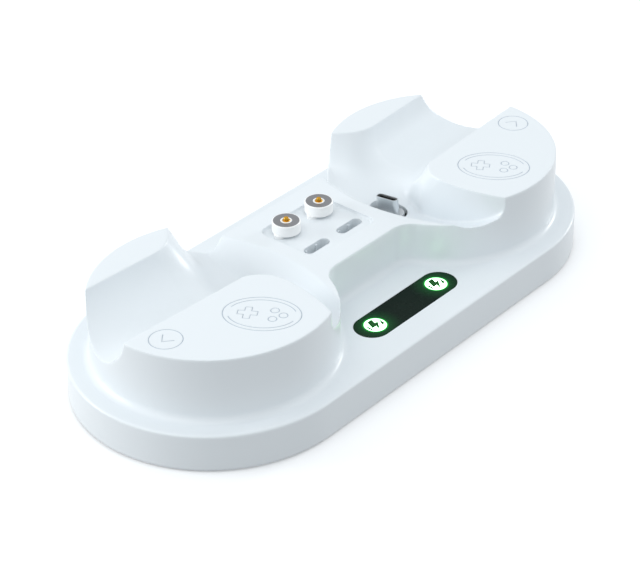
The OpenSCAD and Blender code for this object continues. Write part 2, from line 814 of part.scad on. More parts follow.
top_shell();
bottom_cover();
foot_front_left();
foot_front_right();
foot_back_left();
foot_back_right();
cover_screws();
indicator_window();
light_guide_left();
light_guide_right();
led_board();
led_left();
led_right();
main_board();
charge_chip_left();
charge_chip_right();
power_inductor();
power_inlet_shell();
power_inlet_tongue();
ribbon_left();
ribbon_right();
ribbon_led();
plug_board_left();
plug_board_right();
plug_holder_left();
plug_holder_right();
plug_shell_left();
plug_shell_right();
plug_insert_left();
plug_insert_right();
adapter_body_left();
adapter_body_right();
adapter_ring_left();
adapter_ring_right();
adapter_contact_left();
adapter_contact_right();
adapter_plug_left();
adapter_plug_right();
adapter_insert_left();
adapter_insert_right();
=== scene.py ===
"""Looks of the controller charging dock: its white moulding, plugs, adapters and lit indicators."""
from math import atan2, cos, degrees, pi, radians, sin, sqrt, tan

import bpy
from mathutils import Euler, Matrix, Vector


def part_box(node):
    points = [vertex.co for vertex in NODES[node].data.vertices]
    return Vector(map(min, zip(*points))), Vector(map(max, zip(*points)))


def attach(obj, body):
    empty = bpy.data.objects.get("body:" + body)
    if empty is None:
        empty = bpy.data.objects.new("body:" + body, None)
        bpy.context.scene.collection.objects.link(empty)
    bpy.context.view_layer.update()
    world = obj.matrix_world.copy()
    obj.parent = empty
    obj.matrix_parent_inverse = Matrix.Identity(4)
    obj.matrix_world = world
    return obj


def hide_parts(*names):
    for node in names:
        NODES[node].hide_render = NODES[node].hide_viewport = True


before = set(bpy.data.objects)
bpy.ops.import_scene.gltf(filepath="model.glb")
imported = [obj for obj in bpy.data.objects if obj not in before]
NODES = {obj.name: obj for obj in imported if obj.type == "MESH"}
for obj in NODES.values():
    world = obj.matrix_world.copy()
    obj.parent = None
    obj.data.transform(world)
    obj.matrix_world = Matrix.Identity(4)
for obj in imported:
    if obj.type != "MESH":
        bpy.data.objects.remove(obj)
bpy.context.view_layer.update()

MM = 0.001
# Two places closer than this count as one
SAME = 1e-6
# How far a cutter reaches past what it cuts
OVER = 1 * MM
# The dock's two sides along X, and what their nodes' names end in
SIDES = ((-1, "left"), (1, "right"))

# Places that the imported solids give, in metres
SHELL_LO, SHELL_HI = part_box("top_shell")
BASE_R = SHELL_HI.y
CRADLE_X = SHELL_HI.x - BASE_R
CRADLE_TOP = SHELL_HI.z
FOOT_RISE = SHELL_LO.z
WINDOW_LO, WINDOW_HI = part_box("indicator_window")
WINDOW_L = WINDOW_HI.x - WINDOW_LO.x
WINDOW_W = WINDOW_HI.y - WINDOW_LO.y
WINDOW_Y = (WINDOW_LO.y + WINDOW_HI.y) / 2
LEDGE = WINDOW_HI.z
LIGHT_FLANGE = 1 * MM
LIGHT_LO, LIGHT_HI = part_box("light_guide_right")
LIGHT_X = (LIGHT_LO.x + LIGHT_HI.x) / 2
LIGHT_D = LIGHT_HI.x - LIGHT_LO.x - 2 * LIGHT_FLANGE
ADAPTER_LO, ADAPTER_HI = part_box("adapter_body_right")
ADAPTER_Y = (ADAPTER_LO.y + ADAPTER_HI.y) / 2

# The moulding's own sizes
CRADLE_R = 37 * MM
MID_FRONT = 12.5 * MM
MID_BACK = 25.5 * MM
CORNER_R = 8 * MM
FOOT_BLEND = 2.2 * MM
BASE_ROUND = 0.6 * MM
TOP_ROUND = 0.3 * MM
WALL = 2 * MM
INSIDE_H = 3 * MM

# Where the middle's round corner begins, and how far it turns
CORNER_X = CRADLE_X - sqrt((CRADLE_R + CORNER_R) ** 2 - (MID_FRONT + CORNER_R) ** 2)
CORNER_TURN = 90 - degrees(atan2(MID_FRONT + CORNER_R, CRADLE_X - CORNER_X))

# Sunk panel, its floor at the underside of the adapters' collars, and the slots in it
PANEL = ADAPTER_LO.z
PANEL_L = 28.8 * MM
PANEL_W = 23.6 * MM
PANEL_Y = 6.4 * MM
PANEL_DEEP = 1.2 * MM
PANEL_CORNER = 3 * MM
MID_TOP = PANEL + PANEL_DEEP
SLOT_L = 10.4 * MM
SLOT_W = 3.65 * MM
SLOT_DEEP = 8 * MM
SLOT_ROWS = 12.4 * MM
SLOT_X = (ADAPTER_LO.x + ADAPTER_HI.x) / 2
SLOT_Y = ADAPTER_Y - SLOT_ROWS
COLLAR_GAP = 0.15 * MM
RIB_AT = (-3.4 * MM, 1.2 * MM)
RIB_L = 0.7 * MM
RIB_H = 0.45 * MM
RIB_SUNK = 1 * MM

# Handle trough: a cylinder that lies across the cradle, a little askew
TROUGH_R = 14.5 * MM
TROUGH_Y = 12 * MM
TROUGH_Z = LEDGE + 23.6 * MM
TROUGH_IN = 29.7 * MM
TROUGH_SKEW = radians(3)

# Groove that follows the controller's ring, and the slope down into it
RING_R = 74 * MM
RING_Z = LEDGE + 5 * MM + RING_R
RIM_R = RING_Z - MID_TOP
RIM_X = 19.5 * MM
GROOVE_Y = 1 * MM
GROOVE_OUT = 41.5 * MM
GROOVE_CORNER = 3.5 * MM
SLOPE = radians(41)
SLOPE_Y = 4.5 * MM
SLOPE_BEND = 12 * MM
SLOPE_FLOOR_R = RING_R + 1.5 * MM
SLOPE_RUN = (SLOPE_FLOOR_R - RIM_R - SLOPE_BEND * (1 - cos(SLOPE))) / tan(SLOPE)
BEND_X = RIM_X + SLOPE_RUN + SLOPE_BEND * sin(SLOPE)

# Block in front of the trough: its curved wall, and its inner corner, which is stretched along X
BLOCK_X = 36.9 * MM
BLOCK_Y = -13 * MM
BLOCK_CURVE = 55 * MM
BLOCK_CORNER = 9.2 * MM
CORNER_STRETCH = 1.8
CORNER_LEAN = radians(33)
CORNER_DOWN = 13 * MM
CORNER_UP = 9 * MM
CORNER_OUT = 0.4 * MM
# Share of the trough's radius at which the corner meets it
CORNER_AT = 0.98

# Round bowl behind the block, flared towards the horn, and the horn's leaning face
BOWL_X = 22 * MM
BOWL_Y = 8 * MM
BOWL_R = 20.2 * MM
BOWL_FLARE = 0.79
FLARE_H = 9.5 * MM
BOWL_JOIN = BOWL_Y - 13 * MM
HORN_ANGLE = radians(124.4)
HORN_TURN = radians(23)
HORN_LEAN = radians(24)
HORN_FOOT = Vector((CRADLE_X + CRADLE_R * cos(HORN_ANGLE), CRADLE_R * sin(HORN_ANGLE), LEDGE + 8 * MM))

# How far the groove's cutter reaches past the dock's middle, and up
PAST_MIDDLE = 1 * MM
HOLLOW_TOP = CRADLE_TOP + 8 * MM
# How much narrower the cutter over the flat middle is, and how far up it reaches
FLAT_INSET = 1 * MM
FLAT_TOP = CRADLE_TOP + 2 * MM

# Faces on round stretches: half a turn of the base, a whole one of the rest
BASE_STEPS = 96
CRADLE_STEPS = 192
BOWL_SIDES = 160
INSIDE_SIDES = 128

# The moulding's skin: voxel sizes, smoothing passes, and triangles before its details are cut
HOLLOW_VOXEL = 0.45 * MM
HOLLOW_PASSES = 10
SHELL_VOXEL = 0.36 * MM
SHELL_PASSES = 2
SHELL_TRIANGLES = 180000
SMOOTH_ANGLE = radians(38)

# Where trough and horn flow into the groove: none at the first number, full at the second, in mm
FLOW_LEFT, FLOW_RIGHT = (30, 34), (54, 48)
FLOW_FRONT, FLOW_LOW = (0, 5), (17, 19)
FLOW_PASSES = 100
# The same for the distance from the crease between trough and horn
HORN_REACH = (10, 4)
HORN_PASSES = 800
# The crease's lowest and highest place, as turns down round the trough in degrees
CREASE_LOW, CREASE_HIGH = 90, -24

# Charging plugs, leaning forward in their holders
PLUG_X = 32.7 * MM
PLUG_Y = 4.8 * MM
PLUG_LEAN = radians(7)
PLUG_FLOOR = RING_Z - sqrt(RING_R ** 2 - (PLUG_Y - GROOVE_Y) ** 2)
HOLDER_L = 10.8 * MM
HOLDER_W = 8.2 * MM
HOLDER_GAP = 1 * MM
HOLDER_DOWN = 9 * MM
HOLDER_UP = 3 * MM

# Window, with a painted green glow of the discs' light round its lit discs
WINDOW_GAP = 0.1 * MM
HALO_NEAR = 0.8 * MM
HALO_WIDE = 6.0 * MM
DISC_EDGE = 0.7 * MM
# How steeply the near halo, the wide one and a disc's rim fade
NEAR_FADE, WIDE_FADE, RIM_FADE = 1.6, 2.0, 1.5

# Pictogram on a lit disc, in mm from its centre: a bolt, and the two ends of a battery behind it
ICON = (((-0.6, 2.8), (1.5, 2.8), (0.7, 0.75), (2.0, 0.75), (-1.1, -2.9), (-0.25, -0.55), (-1.9, -0.55)),
        ((-2.9, 1.1), (-2.1, 1.1), (-2.4, -1.2), (-2.9, -1.2)),
        ((2.55, 0.6), (3.0, 0.6), (2.7, -1.6), (1.4, -1.6)))
ICON_LOW = LEDGE - 0.04 * MM
ICON_HIGH = LEDGE + 0.01 * MM

# An adapter's spring pin: radii, and heights over the adapter's ring, in mm
PIN = ((0, -0.6), (1.25, -0.6), (1.25, 0.1), (1.15, 0.2), (0.78, 0.2), (0.75, 0.95), (0.66, 1.1),
       (0.3, 1.2), (0, 1.2))

# Lines cut into the cradles' tops, and the grey lines of painted shade that lie in them
LINE_W = 0.36 * MM
GROOVE_SHADE_W = LINE_W * 0.8
GROOVE_SHADE_DEEP = LINE_W * 0.42

# Round direction mark with a chevron
ROUND_X = 81.5 * MM
ROUND_Y = -8.1 * MM
ROUND_R = 4.85 * MM
CHEVRON = 2.3 * MM
CHEVRON_BACK, CHEVRON_TIP = 0.5, 0.7

# Oval mark turned round its centre, with a cross pad and three dots placed in mm along and across it
OVAL_X = 54.8 * MM
OVAL_Y = -20.2 * MM
OVAL_TURN = radians(-58)
OVAL_R = (11.4 * MM, 8.5 * MM)
INNER_R = (10.0 * MM, 7.1 * MM)
INNER_LINES = ((200, 340), (20, 160))
PAD_AT = -4.2
PAD_LONG, PAD_WIDE = 2.9, 1.0
DOTS_AT = ((3.4, 2.2), (6.2, 0.0), (3.4, -2.2))
DOT_R = 1.25 * MM

# Camera, fitted to the photograph's 640 x 570 frame
PHOTO_W, PHOTO_H = 640, 570
FOCAL_PX = 2129.3
CENTRE_PX = (370.5, 282.2)
CAMERA_AT = (-0.42234, -0.36562, 0.37107)
AZIMUTH, ELEVATION = -50.2865, 32.9879
SENSOR_MM = 36

# The world's strength straight below and overhead
SKY_LOW, SKY_HIGH = 0.22, 1.06
SKY_COLOUR = (0.95, 0.98, 1.0, 1)
# The soft lamps, a metre away: azimuth and elevation in degrees, power in watts and size in metres
LIGHTS = (("left", 132, 14, 4.2, 0.5), ("right", -12, 16, 2.0, 0.2), ("top", 175, 60, 0.8, 0.5))


def camera():
    """The photograph's camera."""
    data = bpy.data.cameras.new("camera")
    data.sensor_width = SENSOR_MM
    data.lens = FOCAL_PX / PHOTO_W * SENSOR_MM
    data.shift_x = (PHOTO_W / 2 - CENTRE_PX[0]) / PHOTO_W
    data.shift_y = (CENTRE_PX[1] - PHOTO_H / 2) / PHOTO_W
    data.clip_start = 0.01
    eye = bpy.data.objects.new("camera", data)
    eye.location = CAMERA_AT
    eye.rotation_euler = (radians(90 - ELEVATION), 0, radians(AZIMUTH))
    bpy.context.collection.objects.link(eye)
    bpy.context.scene.camera = eye


def activate(*objects):
    """Selects only these objects, the first one active."""
    bpy.ops.object.select_all(action="DESELECT")
    for ob in objects:
        ob.select_set(True)
    bpy.context.view_layer.objects.active = objects[0]


def modify(ob, kind, **settings):
    """Adds a modifier and applies it."""
    activate(ob)
    modifier = ob.modifiers.new(kind.lower(), kind)
    for key, value in settings.items():
        setattr(modifier, key, value)
    bpy.ops.object.modifier_apply(modifier=modifier.name)


def smooth(ob, passes, group=""):
    """Evens out a mesh, or as much of it as a vertex group holds."""
    modify(ob, "SMOOTH", factor=0.5, iterations=passes, vertex_group=group)


def settle(ob, name):
    """Puts the object's place and size into its mesh, and names it."""
    activate(ob)
    bpy.ops.object.transform_apply(location=True, rotation=True, scale=True)
    ob.name = ob.data.name = name
    return ob


def unselect(ob, mode):
    """Leaves nothing of a mesh selected, with one select mode on."""
    activate(ob)
    bpy.ops.object.mode_set(mode="EDIT")
    bpy.ops.mesh.select_mode(type=mode)
    bpy.ops.mesh.select_all(action="DESELECT")
    leave_edit()


def leave_edit():
    bpy.ops.object.mode_set(mode="OBJECT")


def pick(ob, test):
    """Enters edit mode with the vertices selected whose place passes the test."""
    unselect(ob, "VERT")
    for vertex in ob.data.vertices:
        vertex.select = test(vertex.co)
    bpy.ops.object.mode_set(mode="EDIT")


def rounded(ob, test, width, segments):
    """Rounds the edges whose two ends pass the test."""
    unselect(ob, "EDGE")
    for edge in ob.data.edges:
        edge.select = test(*[ob.data.vertices[i].co for i in edge.vertices])
    bpy.ops.object.mode_set(mode="EDIT")
    bpy.ops.mesh.bevel(offset=width, segments=segments, affect="EDGES")
    leave_edit()
    return ob


def join(name, *objects):
    """Makes one object of several."""
    activate(*objects)
    if len(objects) > 1:
        bpy.ops.object.join()
    objects[0].name = objects[0].data.name = name
    return objects[0]


def combine(ob, other, operation="UNION"):
    """Exact boolean of two closed pieces; the second one goes."""
    modify(ob, "BOOLEAN", operation=operation, solver="EXACT", object=other)
    bpy.data.objects.remove(other)
    return ob


def cut(ob, *cutters):
    """Cuts closed pieces that don't touch each other out of another, all at once."""
    return combine(ob, join("cutter", *cutters), "DIFFERENCE")


def mended(ob):
    """Turns a closed piece's normals outwards."""
    pick(ob, lambda p: True)
    bpy.ops.mesh.normals_make_consistent(inside=False)
    leave_edit()
    return ob


def mirrored(ob):
    """A copy on the other side of the dock."""
    activate(ob)
    bpy.ops.object.duplicate()
    twin = bpy.context.object
    twin.scale.x = -1
    return mended(settle(twin, ob.name))


def block(name, lo, hi):
    """A cuboid between two corners."""
    lo, hi = Vector(lo), Vector(hi)
    bpy.ops.mesh.primitive_cube_add(size=1, location=(lo + hi) / 2, scale=hi - lo)
    return settle(bpy.context.object, name)


def post(name, x, y, z0, z1, d, sides=64):
    """An upright cylinder."""
    bpy.ops.mesh.primitive_cylinder_add(vertices=sides, radius=d / 2, depth=z1 - z0,
                                        location=(x, y, (z0 + z1) / 2))
    return settle(bpy.context.object, name)


def long_post(name, x, y, z0, z1, length, width, sides=64):
    """An upright post with round ends, its length along X."""
    ob = post(name, x, y, z0, z1, width, sides)
    for side in (-1, 1):
        pick(ob, lambda p: (p.x - x) * side > SAME or (side > 0 and abs(p.x - x) <= SAME))
        bpy.ops.transform.translate(value=(side * (length - width) / 2, 0, 0))
        leave_edit()
    return ob


def flat(name, points):
    """One face between points in space, shaped from a disc with as many corners."""
    bpy.ops.mesh.primitive_circle_add(vertices=len(points), fill_type="NGON", calc_uvs=False)
    ob = settle(bpy.context.object, name)
    for vertex, point in zip(ob.data.vertices, points):
        vertex.co = point
    return ob


def prism(name, outline, z0, z1):
    """An upright solid on an outline seen from above."""
    ob = flat(name, [(x, y, z0) for x, y in outline])
    pick(ob, lambda p: True)
    bpy.ops.mesh.extrude_region_move(TRANSFORM_OT_translate={"value": (0, 0, z1 - z0)})
    leave_edit()
    return mended(ob)


def lathed(name, profile, x, y, steps):
    """A solid of revolution round an upright axis, from a profile of radius and height."""
    ob = flat(name, [(x + r, y, z) for r, z in profile])
    pick(ob, lambda p: abs(p.x - x) < SAME)
    bpy.ops.mesh.delete(type="EDGE_FACE")
    leave_edit()
    pick(ob, lambda p: True)
    bpy.ops.mesh.spin(steps=steps, angle=2 * pi, center=(x, y, 0), axis=(0, 0, 1))
    bpy.ops.mesh.select_all(action="SELECT")
    bpy.ops.mesh.remove_doubles(threshold=SAME)
    leave_edit()
    return mended(ob)


def arc(cx, cy, r, a0, a1, n):
    """Points on an arc, its angles in degrees."""
    turns = [radians(a0 + (a1 - a0) * i / n) for i in range(n + 1)]
    return [(cx + r * cos(turn), cy + r * sin(turn)) for turn in turns]


def ellipse(cx, cy, radii, turn=0.0, start=0, end=360, n=72):
    """Points on an ellipse that is turned, or on a part of it between two angles in degrees."""
    last = n if end - start == 360 else n + 1
    angles = [radians(start + (end - start) * i / n) for i in range(last)]
    spots = [(radii[0] * cos(a), radii[1] * sin(a)) for a in angles]
    return [(cx + u * cos(turn) - v * sin(turn), cy + u * sin(turn) + v * cos(turn)) for u, v in spots]


def ramp(value, ends):
    """0 at the first of two numbers, 1 at the second, straight between."""
    none, full = ends
    return min(1.0, max(0.0, (value - none) / (full - none)))


def from_line(point, start, end):
    """Distance of a point from a straight line between two others."""
    along = end - start
    share = max(0.0, min(1.0, (point - start).dot(along) / along.length_squared))
    return (point - start - along * share).length


class Val:
    """A shader value. Python's operators on it add Math nodes."""

    def __init__(self, tree, socket):
        self.tree, self.socket = tree, socket

    def op(self, operation, *others, **settings):
        return self.tree.add("Math", {"operation": operation, **settings}, self, *others)

    def __add__(self, other):
        return self.op("ADD", other)

    def __sub__(self, other):
        return self.op("SUBTRACT", other)

    def __rsub__(self, other):
        return self.tree.add("Math", {"operation": "SUBTRACT"}, other, self)

    def __mul__(self, other):
        return self.op("MULTIPLY", other)

    def __truediv__(self, other):
        return self.op("DIVIDE", other)

    def __pow__(self, other):
        return self.op("POWER", other)

    __radd__ = __add__
    __rmul__ = __mul__

    def clamp(self):
        """The value held between 0 and 1."""
        return self.op("ADD", 0.0, use_clamp=True)


class Tree:
    """A node tree, to which expressions add their nodes."""

    def __init__(self, tree):
        self.nodes, self.links = tree.nodes, tree.links

    def feed(self, socket, value):
        """Links a shader value to a socket, or sets the socket to a plain one."""
        if isinstance(value, Val):
            self.links.new(value.socket, socket)
        elif value is not None:
            socket.default_value = value

    def add(self, kind, settings=None, *values, out=0, **named):
        """Adds a node: its settings first, then the values or links of its sockets."""
        node = self.nodes.new("ShaderNode" + kind)
        for key, value in (settings or {}).items():
            setattr(node, key, value)
        for key, value in [*enumerate(values), *named.items()]:
            self.feed(node.inputs[key if isinstance(key, int) else key.replace("_", " ")], value)
        return Val(self, node.outputs[out])


class Mat(Tree):
    """A material built from expressions round one Principled shader."""

    def __init__(self, name, **constants):
        self.data = bpy.data.materials.new(name)
        self.data.use_nodes = True
        super().__init__(self.data.node_tree)
        self.shader = self.nodes["Principled BSDF"]
        for key, value in constants.items():
            self.set(key.replace("_", " "), value)

    def set(self, socket, value):
        self.feed(self.shader.inputs[socket], value)

    def place(self):
        return self.add("TexCoord", out="Object")

    def axis(self, i):
        return self.add("SeparateXYZ", None, self.place(), out=i)

    def noise(self, scale, detail, vector=None):
        vector = vector or self.place()
        return self.add("TexNoise", None, out="Fac", Vector=vector, Scale=scale, Detail=detail)

    def mix(self, factor, a, b):
        """Mixes two colours. The Mix node's sockets between the factor and the colours stay unused."""
        unused = [None] * 5
        return self.add("Mix", {"data_type": "RGBA"}, factor, *unused, a, b, out=2)

    def bump(self, height, strength, distance):
        self.set("Normal", self.add("Bump", None, Strength=strength, Distance=distance, Height=height))


def rgb(code):
    """Linear colour from a hex code."""
    parts = [int(code[i:i + 2], 16) / 255 for i in (0, 2, 4)]
    return (*[p / 12.92 if p <= 0.04045 else ((p + 0.055) / 1.055) ** 2.4 for p in parts], 1.0)


def darker(colour, share):
    """The colour with a share of its light taken off."""
    return (*[c * (1 - share) for c in colour[:3]], 1.0)


def moulded(name, colour, roughness, grain=2500, depth=0.02, spread=0.05):
    """Moulded plastic: a fine spark-eroded grain, its depth in mm, and slightly uneven gloss."""
    uneven = 0.08
    mat = Mat(name)
    tone = mat.noise(scale=35, detail=3)
    mat.set("Base Color", mat.mix(tone, darker(colour, spread), colour))
    mat.set("Roughness", mat.noise(scale=120, detail=3) * uneven + (roughness - uneven / 2))
    mat.bump(mat.noise(scale=grain, detail=2), strength=0.15, distance=depth * MM)
    return mat.data


def metal(name, colour, roughness, stretch=(1, 1, 40), scale=400, depth=0.01):
    """Drawn or turned metal, its fine lines across the stretched direction and their depth in mm."""
    brushed = 0.18
    mat = Mat(name, Metallic=1.0)
    stretched = mat.add("Mapping", None, Vector=mat.place(), Scale=stretch)
    lines = mat.noise(scale=scale, detail=3, vector=stretched)
    tone = mat.noise(scale=90, detail=2)
    mat.set("Base Color", mat.mix(tone, darker(colour, 0.28), colour))
    mat.set("Roughness", lines * brushed + (roughness - brushed / 2))
    mat.bump(lines, strength=0.2, distance=depth * MM)
    return mat.data


def paint(ob, material):
    """Gives a new piece its one material."""
    ob.data.materials.clear()
    ob.data.materials.append(material)


def paint_node(node, material):
    """Puts a material in place of a CAD node's own."""
    ob = NODES[node]
    if not ob.material_slots:
        ob.data.materials.append(material)
    for slot in ob.material_slots:
        slot.material = material


def piece(ob, slot, material, *nodes):
    """Registers a new piece on the dock's one body."""
    paint(ob, material)
    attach(ob, "root")
    if nodes:
        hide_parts(*nodes)
    return ob


def base_outline(r):
    """Outline with the base's round ends."""
    return arc(CRADLE_X, 0, r, -90, 90, BASE_STEPS) + arc(-CRADLE_X, 0, r, 90, 270, BASE_STEPS)


def base():
    """Base with a rounded top edge, hollow from below."""
    ob = prism("moulding", base_outline(BASE_R), FOOT_RISE, LEDGE)
    rounded(ob, lambda a, b: min(a.z, b.z) > LEDGE - SAME, BASE_ROUND, 4)
    return cut(ob, prism("hollow", base_outline(BASE_R - WALL), -WALL, LEDGE - WALL))


def cradle():
    """Round cradle with its foot blended into the ledge."""
    foot = LEDGE - WALL / 2
    foot_r = CRADLE_R + FOOT_BLEND
    profile = [(0, foot), (foot_r, foot), *arc(foot_r, LEDGE + FOOT_BLEND, FOOT_BLEND, 270, 180, 8),
               *arc(CRADLE_R - TOP_ROUND, CRADLE_TOP - TOP_ROUND, TOP_ROUND, 0, 90, 4), (0, CRADLE_TOP)]
    return lathed("cradle", profile, CRADLE_X, 0, CRADLE_STEPS)


def middle():
    """Middle block with round corners to the cradles, a little too high; its top is cut flat later."""
    in_cradle = CRADLE_X - CRADLE_R + 12 * MM
    too_high = 0.5 * MM
    half = [*arc(CORNER_X, -MID_FRONT - CORNER_R, CORNER_R, 90, 90 - CORNER_TURN, 16),
            (in_cradle, 0), (in_cradle, MID_BACK)]
    outline = half + [(-x, y) for x, y in reversed(half)]
    return prism("middle", outline, LEDGE - WALL / 2, MID_TOP + too_high)


def foot_blend(back):
    """Concave blend along the foot of the middle's front or back wall, ending at the cradles."""
    sunk = 0.4 * MM
    wall_y, out = (MID_BACK, 1) if back else (-MID_FRONT, -1)
    half = CRADLE_X - sqrt(CRADLE_R ** 2 - MID_BACK ** 2) if back else CORNER_X
    section = [(-sunk, -sunk), (-sunk, FOOT_BLEND), *arc(FOOT_BLEND, FOOT_BLEND, FOOT_BLEND, 180, 270, 8),
               (FOOT_BLEND, -sunk)]
    ob = flat("blend", [(-half, wall_y + out * a, LEDGE + b) for a, b in section])
    pick(ob, lambda p: True)
    bpy.ops.mesh.extrude_region_move(TRANSFORM_OT_translate={"value": (2 * half, 0, 0)})
    leave_edit()
    if not back:
        for side in (1, -1):
            pick(ob, lambda p: abs(p.x - side * half) < SAME)
            bpy.ops.mesh.spin(steps=12, angle=side * radians(CORNER_TURN), axis=(0, 0, 1),
                              center=(side * half, -MID_FRONT - CORNER_R, 0))
            leave_edit()
    return mended(ob)


def ring_disc(name, profile, y):
    """Part of a disc round the controller ring's axis, from a profile of distance along X and radius."""
    sweep, steps = radians(100), 60
    ob = flat(name, [(x, y, RING_Z - r) for x, r in profile])
    ob.location = (0, -y, -RING_Z)
    settle(ob, name)
    ob.rotation_euler = (-sweep / 2, 0, 0)
    settle(ob, name)
    pick(ob, lambda p: True)
    bpy.ops.mesh.spin(steps=steps, angle=-sweep, center=(0, 0, 0), axis=(1, 0, 0))
    leave_edit()
    ob.location = (0, y, RING_Z)
    return mended(settle(ob, name))


def ring_space(out_x):
    """Space swept by the controller's ring, with the inner slope."""
    inner_r = 40 * MM
    inner_x = RIM_X - 14 * MM
    before_rim = 12 * MM
    slope_x = RIM_X - before_rim
    slope_out = out_x + 5 * MM
    disc = ring_disc("ring", [(inner_x, inner_r), (inner_x, RING_R),
                              *arc(out_x - GROOVE_CORNER, RING_R - GROOVE_CORNER, GROOVE_CORNER, 90, 0, 6),
                              (out_x, inner_r)], GROOVE_Y)
    bend = arc(BEND_X, SLOPE_FLOOR_R - SLOPE_BEND, SLOPE_BEND, 90 + degrees(SLOPE), 90, 10)
    slope = ring_disc("slope", [(slope_x, inner_r), (slope_x, RIM_R - before_rim * tan(SLOPE)), *bend,
                                (slope_out, SLOPE_FLOOR_R), (slope_out, inner_r)], SLOPE_Y)
    return combine(disc, slope, "INTERSECT")


def front_outline(inset):
    """Plan of the groove in front of the trough."""
    steps = 24
    ys = [-BASE_R + (BOWL_JOIN + BASE_R) * i / steps for i in range(steps + 1)]
    side = [(BLOCK_X + BLOCK_CURVE - inset - sqrt(BLOCK_CURVE ** 2 - (y - BLOCK_Y) ** 2), y) for y in ys]
    return [(-PAST_MIDDLE, -BASE_R), *side, (-PAST_MIDDLE, BOWL_JOIN)]


def bowl_flare(z0, z1, inset):
    """Back half of a cone, whose radius is the bowl's own at one height."""
    level = LEDGE + FLARE_H
    bpy.ops.mesh.primitive_cone_add(vertices=BOWL_SIDES, radius1=BOWL_R - (level - z0) * BOWL_FLARE - inset,
                                    radius2=BOWL_R + (z1 - level) * BOWL_FLARE - inset, depth=z1 - z0,
                                    location=(BOWL_X, BOWL_Y, (z0 + z1) / 2))
    cone = settle(bpy.context.object, "cone")
    half = block("half", (-BASE_R, BOWL_Y, z0 - OVER), (2 * BASE_R, BOWL_Y + BASE_R, z1 + OVER))
    return combine(cone, half, "INTERSECT")


def horn_side(z0, z1, inset):
    """What lies inwards of the horn's leaning face."""
    reach = 30 * MM
    lean = block("lean", (-BASE_R / 2 - inset, -BASE_R / 3, -reach), (-inset, BASE_R / 6, reach))
    lean.rotation_euler = (0, HORN_LEAN, HORN_TURN)
    lean.location = HORN_FOOT
    settle(lean, "lean")
    between = block("between", (-BASE_R, -BASE_R, z0), (2 * BASE_R, 2 * BASE_R, z1))
    return combine(lean, between, "INTERSECT")


def bowl(z0, z1, inset):
    """Overlapping solids of the bowl between the block and the horn."""
    lap = 0.5 * MM
    return [post("bowl", BOWL_X, BOWL_Y, z0, z1, 2 * (BOWL_R - inset), BOWL_SIDES),
            bowl_flare(z0, z1, inset),
            block("inner", (-PAST_MIDDLE, BOWL_JOIN - lap, z0), (BOWL_X, BOWL_JOIN + BASE_R, z1)),
            horn_side(z0, z1, inset)]


def trough():
    """Cylinder of the handle trough, from its inner end out past the base."""
    length = BASE_R + CRADLE_R
    along = length / 2 - (CRADLE_X - TROUGH_IN)
    bpy.ops.mesh.primitive_cylinder_add(vertices=BOWL_SIDES, radius=TROUGH_R, depth=length)
    ob = bpy.context.object
    ob.rotation_euler = (0, pi / 2, TROUGH_SKEW)
    ob.location = (CRADLE_X + along * cos(TROUGH_SKEW), TROUGH_Y + along * sin(TROUGH_SKEW), TROUGH_Z)
    return settle(ob, "trough")


def block_corner():
    """What rounds the block's inner corner off, leaning with the trough's side."""
    past = 3 * MM
    wide = BLOCK_CORNER * CORNER_STRETCH
    curve = [(x * CORNER_STRETCH, y) for x, y in arc(0, 0, BLOCK_CORNER, 180, 90, 24)]
    outline = [(-wide - past, 0), *curve, (0, BLOCK_CORNER + past), (-wide - past, BLOCK_CORNER + past)]
    ob = prism("corner", outline, -CORNER_DOWN, CORNER_UP)
    ob.rotation_euler = (CORNER_LEAN, 0, 0)
    ob.location = (BLOCK_X + CORNER_OUT + wide, TROUGH_Y - CORNER_AT * TROUGH_R - BLOCK_CORNER, CRADLE_TOP)
    return settle(ob, "corner")


def crease():
    """Points along the crease between the trough and the horn's leaning face."""
    steps = 6
    along = Vector((cos(TROUGH_SKEW), sin(TROUGH_SKEW), 0))
    across = Vector((-sin(TROUGH_SKEW), cos(TROUGH_SKEW), 0))
    outwards = Vector((1, 0, 0))
    outwards.rotate(Euler((0, HORN_LEAN, HORN_TURN)))
    centre = Vector((CRADLE_X, TROUGH_Y, TROUGH_Z))
    points = []
    for i in range(steps + 1):
        turn = radians(CREASE_HIGH + (CREASE_LOW - CREASE_HIGH) * i / steps)
        wall = centre + TROUGH_R * (cos(turn) * across - Vector((0, 0, sin(turn))))
        points.append(wall + along * ((HORN_FOOT - wall).dot(outwards) / along.dot(outwards)))
    return points


def soften(ob):
    """Smooths one hollow further where its trough and horn flow into the groove."""
    flow, horn = ob.vertex_groups.new(name="flow"), ob.vertex_groups.new(name="horn")
    line = crease()
    for vertex in ob.data.vertices:
        x, y, z = vertex.co / MM
        near = ramp(x, FLOW_LEFT) * ramp(x, FLOW_RIGHT) * ramp(y, FLOW_FRONT) * ramp(z, FLOW_LOW)
        if near > 0:
            flow.add([vertex.index], near, "REPLACE")
            off = min(from_line(vertex.co, *ends) for ends in zip(line, line[1:]))
            horn.add([vertex.index], ramp(off / MM, HORN_REACH), "REPLACE")
    smooth(ob, FLOW_PASSES, "flow")
    smooth(ob, HORN_PASSES, "horn")


def hollows():
    """All that one cradle's trough and groove take out, as one piece with soft inner edges."""
    wider = 12 * MM
    front = prism("front", front_outline(0), LEDGE, HOLLOW_TOP)
    combine(front, ring_space(GROOVE_OUT), "INTERSECT")
    round_end = [combine(part, ring_space(GROOVE_OUT + wider), "INTERSECT")
                 for part in bowl(LEDGE, HOLLOW_TOP, 0)]
    ob = join("hollow", trough(), front, block_corner(), *round_end)
    modify(ob, "REMESH", mode="VOXEL", voxel_size=HOLLOW_VOXEL)
    smooth(ob, HOLLOW_PASSES)
    soften(ob)
    return ob


